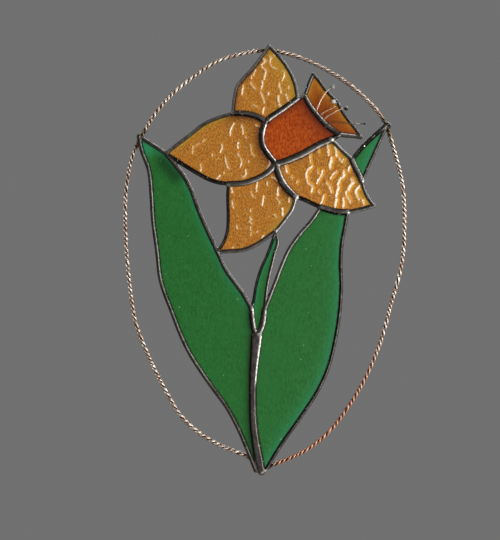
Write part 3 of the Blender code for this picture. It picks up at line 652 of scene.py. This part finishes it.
def inside(points, loop):
    """Which points lie inside a closed loop."""
    result = np.zeros(len(points), bool)
    for (x0, z0), (x1, z1) in zip(loop, np.roll(loop, -1, axis=0)):
        if z0 != z1:
            spans = (points[:, 1] < z0) != (points[:, 1] < z1)
            result ^= spans & (points[:, 0] < x0 + (points[:, 1] - z0) * (x1 - x0) / (z1 - z0))
    return result


def beyond_bead(points, name):
    """How far each point lies outside a seam's bead, up to the distance that counts as far."""
    path = flat(seam_path(name))
    low = path.min(axis=0) - BEAD_REACH
    high = path.max(axis=0) + BEAD_REACH
    near = np.all((points > low) & (points < high), axis=1)
    close = points[near]
    nearest = np.full(len(close), FAR)
    for i, (start, end) in enumerate(zip(path, path[1:])):
        half_width = width_at(SEAMS[name][3], (i + 0.5) / (len(path) - 1)) / 2
        nearest = np.minimum(nearest, line_distance(close, [start, end]) - half_width)
    distances = np.full(len(points), FAR)
    distances[near] = nearest
    return distances


def beyond_beads(points, seams):
    """How far each point lies outside the nearest of these seams' beads."""
    return np.min([beyond_bead(points, name) for name in seams], axis=0, initial=FAR)


# Materials

class Look:
    """A Principled material, the nodes that feed it, and the colour that they have made so far."""

    def __init__(self, name):
        self.material = bpy.data.materials.new(name)
        self.material.use_nodes = True
        self.tree = self.material.node_tree
        self.shader = self.tree.nodes["Principled BSDF"]
        self.place = self.add("ShaderNodeTexCoord").outputs["Object"]
        self.color = None

    def feed(self, node, inputs):
        """Sets a node's inputs, or links them where a socket is given."""
        for key, value in inputs.items():
            if isinstance(value, bpy.types.NodeSocket):
                self.tree.links.new(value, node.inputs[key])
            else:
                node.inputs[key].default_value = value

    def add(self, kind, inputs=None, **settings):
        node = self.tree.nodes.new(kind)
        for key, value in settings.items():
            setattr(node, key, value)
        self.feed(node, inputs or {})
        return node

    def finish(self, **values):
        for key, value in {"base_color": self.color, **values}.items():
            self.feed(self.shader, {key.replace("_", " ").title().replace("Ior", "IOR"): value})
        return self.material

    def painted(self, name):
        return self.add("ShaderNodeAttribute", attribute_name=name).outputs["Fac"]

    def noise(self, scale, detail, rise=1.0):
        """Soft random values; a rise below 1 draws them out upwards."""
        mapping = self.add("ShaderNodeMapping", {"Vector": self.place, "Scale": (1, 1, rise)})
        inputs = {"Vector": mapping.outputs["Vector"], "Scale": scale, "Detail": detail}
        return self.add("ShaderNodeTexNoise", inputs).outputs["Fac"]

    def spread(self, value, low, high, to_low=0.0, to_high=1.0):
        """The value carried from one range to another and held inside it."""
        inputs = {"Value": value, "From Min": low, "From Max": high, "To Min": to_low, "To Max": to_high}
        return self.add("ShaderNodeMapRange", inputs, clamp=True).outputs["Result"]

    def patches(self, scale, low, high, detail=3.0, rise=1.0):
        """Noise with 0 below its low value and 1 above its high one."""
        return self.spread(self.noise(scale, detail, rise), low, high)

    def times(self, a, b):
        return self.add("ShaderNodeMath", {0: a, 1: b}, operation="MULTIPLY").outputs["Value"]

    def blend(self, share, low, high):
        """A colour between two, each a socket or red, green and blue as seen on screen."""
        low, high = [linear(color) if isinstance(color, tuple) else color for color in (low, high)]
        return self.add("ShaderNodeMix", {"Factor": share, 6: low, 7: high}, data_type="RGBA").outputs[2]

    def coat(self, share, color, strength=1.0):
        """Lays a colour over the one so far; the share is a socket or the name of a layer on the mesh."""
        if isinstance(share, str):
            share = self.painted(share)
        if strength < 1:
            share = self.times(share, strength)
        self.color = self.blend(share, self.color, color)

    def bump(self, scale, detail, depth):
        """A fine relief of noise, this deep in metres."""
        inputs = {"Height": self.noise(scale, detail), "Distance": depth}
        return self.add("ShaderNodeBump", inputs).outputs["Normal"]


def linear(color):
    """Red, green and blue from 0 to 255, as seen on screen, made the shader's own colour."""
    return (*[(part / 255) ** GAMMA for part in color], 1.0)


def amber_glass():
    look = Look("wavy amber glass")
    grain = look.patches(1400, 0.34, 0.66, rise=0.5)
    look.color = look.blend(grain, (125, 72, 16), (201, 137, 50))
    look.coat(look.patches(170, 0.35, 0.65), (188, 106, 26), 0.3)
    look.coat("olive", (173, 144, 45), 0.75)
    look.coat("shade", (84, 42, 8))
    # Painted glowing light beside the waves, on their lit side
    look.coat("painted_glow", (230, 154, 40))
    # Small painted highlight specks scattered over the glass
    look.coat(look.patches(800, 0.69, 0.76, 1.0), (222, 186, 130), 0.6)
    # Painted highlight along the wave crests
    look.coat("painted_glint", (222, 194, 150), 0.9)
    # Dark foil edge and painted shade just outside the solder
    look.coat("foil_edge_and_shade", (30, 20, 8))
    return look.finish(
        roughness=look.spread(grain, 0, 1, 0.16, 0.28), ior=1.6, transmission_weight=0.1,
        normal=look.bump(900, 3.0, 0.04 * MM))


def red_glass():
    look = Look("satin red-orange glass")
    streak = look.patches(1000, 0.36, 0.64, rise=0.45)
    look.color = look.blend(streak, (134, 49, 5), (180, 80, 14))
    look.coat("shade", (80, 26, 3))
    # Dark foil edge and painted shade just outside the solder
    look.coat("foil_edge_and_shade", (26, 10, 6))
    return look.finish(
        roughness=look.spread(streak, 0, 1, 0.3, 0.42), ior=1.52, specular_ior_level=0.2,
        transmission_weight=0.06, normal=look.bump(900, 3.0, 0.02 * MM))


def orange_glass():
    look = Look("orange glass")
    streak = look.patches(1300, 0.3, 0.7, rise=0.6)
    look.color = look.blend(streak, (120, 52, 5), (142, 69, 10))
    look.coat("olive", (182, 120, 36))
    look.coat("shade", (138, 64, 10))
    # Dark foil edge and painted shade just outside the solder
    look.coat("foil_edge_and_shade", (24, 12, 6))
    return look.finish(
        roughness=look.spread(streak, 0, 1, 0.24, 0.36), ior=1.52, specular_ior_level=0.25,
        transmission_weight=0.08, normal=look.bump(900, 3.0, 0.02 * MM))


def green_glass():
    look = Look("mottled green glass")
    look.color = look.blend(look.patches(1300, 0.2, 0.8, 2.0, 0.35), (19, 80, 26), (47, 112, 53))
    look.coat(look.patches(60, 0.35, 0.65), (34, 103, 46), 0.4)
    look.coat("olive", (42, 132, 86), 0.85)
    look.coat(look.patches(520, 0.81, 0.83, 0.0), (130, 190, 130), 0.5)
    look.coat("shade", (12, 46, 15))
    # Dark foil edge and painted shade just outside the solder
    look.coat("foil_edge_and_shade", (8, 26, 10))
    return look.finish(
        roughness=0.36, ior=1.52, specular_ior_level=0.25, transmission_weight=0.06,
        normal=look.bump(500, 1.0, 0.01 * MM))


def dark_solder():
    look = Look("solder with a dark patina")
    cloud = look.patches(160, 0.3, 0.7)
    patina_and_shade = look.painted("patina_and_shade")
    look.color = look.blend(cloud, (82, 76, 71), (112, 105, 99))
    look.coat(look.patches(750, 0.35, 0.65, 2.0), (48, 44, 41), 0.35)
    look.coat("dark", (24, 22, 20), 0.88)
    look.coat("pale", (176, 168, 160), 0.7)
    # Painted highlight on the flanks that face the light
    look.coat("painted_highlight", (224, 220, 214))
    # Black patina and painted shade: beside the glass and on flanks turned away from the light
    look.coat(patina_and_shade, (8, 8, 7))
    # Painted glints: sparse bright specks in the black
    look.coat(look.times(patina_and_shade, look.patches(620, 0.69, 0.74, 1.0)), (200, 195, 188))
    return look.finish(
        metallic=look.spread(patina_and_shade, 0, 1, 0.75, 0.95), roughness=look.spread(cloud, 0, 1, 0.28, 0.38),
        normal=look.bump(900, 2.0, 0.02 * MM))


def copper_wire():
    look = Look("bare copper wire")
    look.color = look.blend(look.patches(260, 0.35, 0.65), (170, 138, 119), (240, 224, 209))
    # Duller colour on the upper-right arc
    look.coat("upper_right_arc", (136, 117, 104), 0.6)
    look.coat("warm", (188, 134, 108), 0.85)
    look.coat("tinned", (108, 94, 72))
    # Dark patina and painted shade in the grooves and on the lower-left side
    look.coat("patina_and_shade", (24, 15, 11))
    return look.finish(
        metallic=1.0, roughness=look.spread(look.painted("matte"), 0, 1, 0.36, 0.6),
        normal=look.bump(1500, 2.0, 0.01 * MM))


def tinned_wire():
    look = Look("tinned wire")
    cloud = look.patches(600, 0.35, 0.65)
    look.color = look.blend(cloud, (186, 160, 144), (216, 192, 176))
    look.coat("dull", (112, 92, 78))
    look.coat("ball", (126, 128, 122))
    look.coat("pale", (186, 188, 182))
    look.coat("black", (14, 13, 12))
    return look.finish(
        metallic=look.spread(look.painted("ball"), 0, 1, 1.0, 0.3),
        roughness=look.spread(cloud, 0, 1, 0.3, 0.4), normal=look.bump(1500, 2.0, 0.01 * MM))


# Glass

def nearness(points, seams, reach):
    """1 at the beads' edges, falling away over this reach."""
    return np.exp(-np.maximum(beyond_beads(points, seams), 0) / reach)


def around_line(points, lines, name):
    """1 on a pane's own line, falling away to 0 at its reach."""
    if name not in lines:
        return np.zeros(len(points))
    line, reach = lines[name]
    return 1 - ease(line_distance(points, line), 0, reach)


def waves(points, crests):
    """Wave heights in the glass, painted highlights on their crests, and painted glowing light beside them.
    """
    wobble = [field(points, RAGGED_PATCH, RAGGED_PATCH, seed) for seed in (7, 8)]
    ragged = points + RAGGEDNESS * np.column_stack(wobble)
    swelling = 0.9 + 0.5 * field(points, 2.0, 2.0, 9)
    height, painted_glint, painted_glow = np.zeros((3, len(points)))
    for width, *line in crests:
        half = width / 2 * swelling
        distance, side = line_sides(ragged, line)
        flank = 1 - ease(distance, half, half * WAVE_SPREAD)
        slope = -np.clip(side / half, -1, 1) * half * WAVE_SLOPE * flank
        height = np.where(abs(slope) > abs(height), slope, height)
        painted_glint = np.maximum(painted_glint, 1 - ease(distance, half * 0.8, half * 1.35))
        painted_glow = np.maximum(painted_glow, ease(side - half, 0.0, 0.5) * (1 - ease(distance - half, 0.9, 1.8)))
    return height, painted_glint, painted_glow


def glass_pane(name, materials):
    slot, voxel, ripple, patch, light, dark = PANE_LOOKS[name]
    loop = inset_loop(pane_loop(PANES[name]), PANE_INSET)
    mesh = fused(plate(loop, GLASS_THICKNESS), voxel)
    places = coordinates(mesh)
    points = flat(places)
    height, painted_glint, painted_glow = waves(points, GLINTS.get(name, []))
    height += ripple * field(points, *patch, 1) + 0.3 * ripple * field(points, 1.5, 1.5, 2)
    from_middle = (places[:, 1] + PANEL_OFFSET) / (GLASS_THICKNESS / 2)
    front = from_middle < -FACE_SHARE
    back = from_middle > FACE_SHARE
    places[front, 1] -= height[front] * MM
    places[back, 1] += BACK_RELIEF * height[back] * MM
    move_vertices(mesh, places)
    shade = LINE_SHADE * around_line(points, SHADED_LINES, name)
    # Painted highlight along the wave crests, broken up at random
    paint(mesh, "painted_glint", painted_glint * (0.6 + 0.4 * ease(field(points, 1.3, 1.8, 10), -0.3, 0.2)))
    paint(mesh, "olive", np.maximum(nearness(points, *light), around_line(points, TINTED_LINES, name)))
    # Painted glowing light beside the waves, on their lit side
    paint(mesh, "painted_glow", painted_glow * PAINTED_GLOW.get(name, FAINT_PAINTED_GLOW))
    paint(mesh, "shade", np.maximum(nearness(points, *dark), shade))
    # Dark foil edge and painted shade just outside each bead
    paint(mesh, "foil_edge_and_shade", 1 - ease(beyond_beads(points, PANES[name]), 0.0, FOIL_EDGE_AND_SHADE_REACH))
    piece(name.replace("glass", "pane"), mesh, materials[slot], slot, name)


# Solder

def bead_depth(rise, half_depth, flatness=1.0):
    """How deep a bead's skin lies, from its side (rise 0) with steep walls to its crest (rise 1)."""
    wall = BEAD_WALL * np.minimum(1, abs(rise) * BEAD_STEEPNESS)
    dome = (half_depth - BEAD_WALL) * np.minimum(1, abs(rise) * flatness)
    return np.sign(rise) * (wall + dome)


def half_depth(name):
    if name == "stem":
        return STEM_DEPTH / 2
    return (SEAM_DEPTH if max(SEAMS[name][3]) > WIDE_SEAM else EDGE_DEPTH) / 2


def solder_seam(name):
    """A bead along a seam, with a steep wall at each side and a domed crest."""
    path = seam_path(name)
    flatness = STEM_FLATNESS if name == "stem" else 1.0
    angles = np.arange(BEAD_SIDES) * tau / BEAD_SIDES
    depths = bead_depth(np.sin(angles), half_depth(name), flatness)
    work = bmesh.new()
    rings = []
    for i, (before, point, after) in enumerate(neighbours(path)):
        ahead = after - before
        across = Vector((-ahead.z, 0, ahead.x)).normalized()
        half_width = width_at(SEAMS[name][3], i / (len(path) - 1)) * MM / 2
        half_width *= 1 + WIDTH_UNEVENNESS * noise.noise(point / WIDTH_PATCH)
        rings.append([
            work.verts.new(point + across * half_width * cos(angle) + Vector((0, depth, 0)))
            for angle, depth in zip(angles, depths)])
    for ring, following in zip(rings, rings[1:]):
        for k in range(BEAD_SIDES):
            work.faces.new((ring[k - 1], ring[k], following[k], following[k - 1]))
    work.faces.new(rings[0])
    work.faces.new(rings[-1][::-1])
    bmesh.ops.recalc_face_normals(work, faces=work.faces)
    return worked(work)


def corner_blob(name):
    """A rounded lump of solder over the ends of the seams that meet at a corner."""
    ends = [(seam, widths[0]) for seam, (first, _, _, widths) in SEAMS.items() if first == name]
    ends += [(seam, widths[-1]) for seam, (_, _, last, widths) in SEAMS.items() if last == name]
    radius = max(width for _, width in ends) * MM / 2 * BLOB_SWELL
    depth = max(half_depth(seam) for seam, _ in ends) * BLOB_SWELL
    mesh = ball(Vector((0, 0, 0)), 1.0)
    places = coordinates(mesh)
    places[:, 1] = bead_depth(places[:, 1], depth)
    places[:, [0, 2]] *= radius
    move_vertices(mesh, places + np.array(place(CORNERS[name])))
    return mesh


def over_glass(points):
    return np.any([inside(points, flat(pane_loop(seams))) for seams in PANES.values()], axis=0)


def seam_tones(points):
    """How dark and how shiny the beads are at each point, and whether they are turned and lined."""
    weights = np.array([np.exp(-3 * beyond_bead(points, name)) for name in SEAMS])
    tones = np.array([
        [*SEAM_TONES.get(name, EDGE_TONE), name in TURNED_SEAMS, name in LINED_SEAMS] for name in SEAMS])
    return tones.T @ weights / weights.sum(axis=0)


def paint_solder(mesh, points, outward):
    """Black by the glass, painted shade on shadowed flanks, painted highlights on flanks facing light or air.
    """
    sideways = outward[:, [0, 2]]
    flank = np.linalg.norm(sideways, axis=1)
    toward = sideways / np.maximum(flank, 0.05)[:, None]
    facing = toward @ LIT_SIDE
    ahead = over_glass(points + toward * FLANK_REACH)
    between = ahead & over_glass(points - toward * FLANK_REACH)
    airward = np.where(ahead, -flank, flank)
    darkness, shine, turning, lining = seam_tones(points)
    turned = turning > 0.5
    # 1 below where the stem's painted highlight ends
    below_stem_highlight = 1 - ease(points[:, 1], STEM_HIGHLIGHT_END - HIGHLIGHT_FADE, STEM_HIGHLIGHT_END + HIGHLIGHT_FADE)
    pale = near_spots(points, [(spot, radius / 2, radius) for spot, radius in PALE_SPOTS])
    mottle = 0.5 + 0.5 * ease(field(points, 2.0, 2.0, 6), -0.25, 0.15)
    patina = 0.65 + 0.35 * ease(field(points, 3.0, 3.0, 11), -0.3, 0.2)

    # Flanks of the beads between two panes, and of those round the outside
    lit = ease(facing, 0.3, 0.6)
    line = lining * ease(flank, 0.6, 0.85) * ahead
    by_glass = np.maximum(ease(flank, 0.92, 0.98) * (1 - lit * shine), line)
    shadow = (1 - ease(facing, -0.3, 0.3)) * (0.5 * ease(flank, 0.05, 0.35) + 0.5 * ease(flank, 0.45, 0.75))
    from_shaded = np.min([line_distance(points, flat(seam_path(name))) for name in SHADED_UNDERSIDES], axis=0)
    underside = ease(-sideways[:, 1], 0.05, 0.4) * (1 - ease(from_shaded, 2.0, 3.0))
    outline = np.maximum(
        0.75 * ease(airward, 0.5, 0.7) * ease(-sideways[:, 0], 0.0, 0.3),
        np.clip(1 - 4 * shine, 0, 0.8) * ease(airward, 0.5, 0.75))
    lit_between = lit * ease(flank, 0.28, 0.55)
    lit_edge = np.where(
        turned, ease(-airward, 0.1, 0.4) * (1 - by_glass), ease(airward, 0.05, 0.3) * (1 - outline))
    # Painted shade on the stem's lit flank below its painted highlight
    shaded_low_flank = 0.7 * below_stem_highlight * lit * ease(flank, 0.3, 0.6)
    # Black patina and painted shade, on beads between panes and on edge beads
    black_between = np.maximum.reduce([by_glass, shadow, underside, shaded_low_flank])
    black_edge = np.where(
        turned, np.maximum(by_glass, (0.7 - 0.25 * lining) * ease(airward, 0.1, 0.4)),
        np.maximum(1 - ease(airward, -0.3, -0.05), outline))
    # Pale spots: wear and painted highlights
    paint(mesh, "pale", pale)
    paint(mesh, "dark", darkness * patina * (1 - pale))
    # Painted highlight on the lit flanks, broken up at random
    paint(mesh, "painted_highlight", np.where(between, lit_between, lit_edge) * shine * mottle * (1 - below_stem_highlight))
    # Black patina and painted shade on the solder
    paint(mesh, "patina_and_shade", np.where(between, black_between, black_edge * (0.3 + 0.7 * darkness)))


def make_solder(material):
    beads = [solder_seam(name) for name in SEAMS]
    beads += [corner_blob(name) for name in CORNERS]
    beads += [ball(place(point, -PANEL_OFFSET / MM / 2), radius * MM) for point, radius in RING_HOLDS]
    mesh = fused(joined(beads), SOLDER_VOXEL, SOLDER_SMOOTHING)
    places = coordinates(mesh)
    outward = normals(mesh)
    paint_solder(mesh, flat(places), outward)
    relief = sum(
        height * np.array([noise.noise(point) for point in places / (size * MM)]) for height, size in LUMPS)
    move_vertices(mesh, places + outward * (relief * MM)[:, None])
    piece("solder_beads", mesh, material, "solder", "solder_web")


# Ring

def strand(path, phase):
    """One wire's centre line as it winds round the ring's own line."""
    line = []
    travelled = 0.0
    for before, point, after in neighbours(path):
        ahead = (after - before).normalized()
        travelled += (point - before).length
        turn = tau * travelled / TWIST_PITCH + phase
        for angle, length in UNEVENNESS:
            turn += angle * noise.noise(point / length)
        across = ahead.cross(Vector((0, 1, 0)))
        line.append(point + (across * cos(turn) + Vector((0, sin(turn), 0))) * STRAND_DIAMETER / 2)
    return line


def make_ring(material):
    """Tinned by the solder, duller and less shaded at upper right, warmer at lower right, painted shade in
    the grooves.
    """
    path = smooth_path([Vector((x * MM, 0, z * MM)) for x, z in RING_ROUTE], TWIST_PITCH / STATIONS_PER_TURN)
    mesh = joined([tube(strand(path, phase), STRAND_DIAMETER, 4) for phase in (0, pi)])
    points = flat(coordinates(mesh))
    tree = KDTree(len(path))
    for i, point in enumerate(path):
        tree.insert(point, i)
    tree.balance()
    from_middle = np.array([tree.find(vertex.co)[2] for vertex in mesh.vertices]) / STRAND_DIAMETER
    across, up = points.T
    # Upper-right arc: duller, rougher, and with less painted shade in its grooves
    upper_right_arc = ease(across, 5, 25) * ease(up, -75, -50)
    warm = ease(across, -2, 8) * ease(-up, 190, 250)
    lower_left = ease(normals(mesh)[:, [0, 2]] @ LOWER_LEFT, 0.35, 0.75)
    # Painted shade in the grooves between the wires and on the ring's lower-left side
    groove = (1 - 0.8 * upper_right_arc) * (1 - ease(from_middle, 0.5, 0.75))
    patina_and_shade = np.maximum(groove, (0.55 + 0.25 * upper_right_arc) * lower_left)
    paint(mesh, "tinned", near_spots(points, [(spot, radius + 2, radius + 8) for spot, radius in RING_HOLDS]))
    paint(mesh, "warm", warm)
    paint(mesh, "patina_and_shade", patina_and_shade)
    paint(mesh, "upper_right_arc", upper_right_arc * (1 - 0.5 * ease(across, 40, 65)))
    paint(mesh, "matte", np.maximum.reduce([patina_and_shade, 0.5 * warm, 0.35 * upper_right_arc]))
    piece("twisted_ring", mesh, material, "copper_wire", "wire_ring")


# Stamens

def make_stamens(material):
    front = GLASS_THICKNESS / MM / 2
    for name, (points, end_radius) in STAMENS.items():
        path = smooth_path([place(point, front + point[2]) for point in points], STAMEN_STEP)
        mesh = joined([tube(path, STAMEN_WIRE, 3), ball(path[-1], end_radius * END_SHARE * MM)])
        places = coordinates(mesh)
        across = flat(places)
        from_end = spot_distance(places, path[-1]) / MM
        reach = spot_distance(across, points[0][:2])
        ball_part = 1 - ease(from_end, end_radius, end_radius + 0.3)
        spot, radius = BLACK_SPOTS.get(name, ((0, 0), 0))
        paint(mesh, "ball", ball_part)
        paint(mesh, "pale", ball_part * (name in PALE_ENDS))
        paint(mesh, "dull", reach < DULL_SHARES.get(name, 0) * reach.max())
        paint(mesh, "black", spot_distance(across, spot) < radius)
        piece(name.replace("stamen", "pistil_wire"), mesh, material, "tinned_wire", name)


# Stage

def seen_from(azimuth, elevation, distance):
    """The place that many degrees to the right of the panel's front, and above it."""
    side = radians(azimuth)
    rise = radians(elevation)
    return VIEW_CENTER + Vector((sin(side) * cos(rise), -cos(side) * cos(rise), sin(rise))) * distance


def area_light(name, azimuth, elevation, distance, width, height, power):
    data = bpy.data.lights.new(name, "AREA")
    data.shape = "RECTANGLE"
    data.size = width
    data.size_y = height
    data.energy = power
    lamp = link(name, data)
    lamp.location = seen_from(azimuth, elevation, distance)
    lamp.rotation_euler = (VIEW_CENTER - lamp.location).to_track_quat("-Z", "Y").to_euler()
    lamp.visible_camera = False


def make_stage():
    bpy.ops.mesh.primitive_circle_add(
        vertices=96, radius=FLOOR_RADIUS, fill_type="NGON", location=(0, 0, FLOOR_HEIGHT))
    floor = bpy.context.object
    floor.name = "floor"
    floor.data.materials.append(Look("pale floor").finish(base_color=linear(FLOOR_COLOR), roughness=0.8))

    scene = bpy.context.scene
    scene.world = bpy.data.worlds.new("studio")
    scene.world.use_nodes = True
    scene.world.node_tree.nodes["Background"].inputs["Color"].default_value = linear(AIR_COLOR)
    for name, settings in LIGHTS.items():
        area_light(name, *settings)

    camera = bpy.data.cameras.new("camera")
    camera.sensor_width = SENSOR
    camera.lens = SENSOR * CAMERA_DISTANCE / VIEW_HEIGHT
    eye = link("camera", camera)
    eye.location = seen_from(0, 0, CAMERA_DISTANCE)
    eye.rotation_euler = (pi / 2, 0, 0)
    scene.camera = eye
    scene.view_settings.view_transform = "Standard"


make_stage()
glass = {
    "amber_glass": amber_glass(), "red_orange_glass": red_glass(), "orange_glass": orange_glass(),
    "green_glass": green_glass()}
for name in PANES:
    glass_pane(name, glass)
make_solder(dark_solder())
make_ring(copper_wire())
make_stamens(tinned_wire())
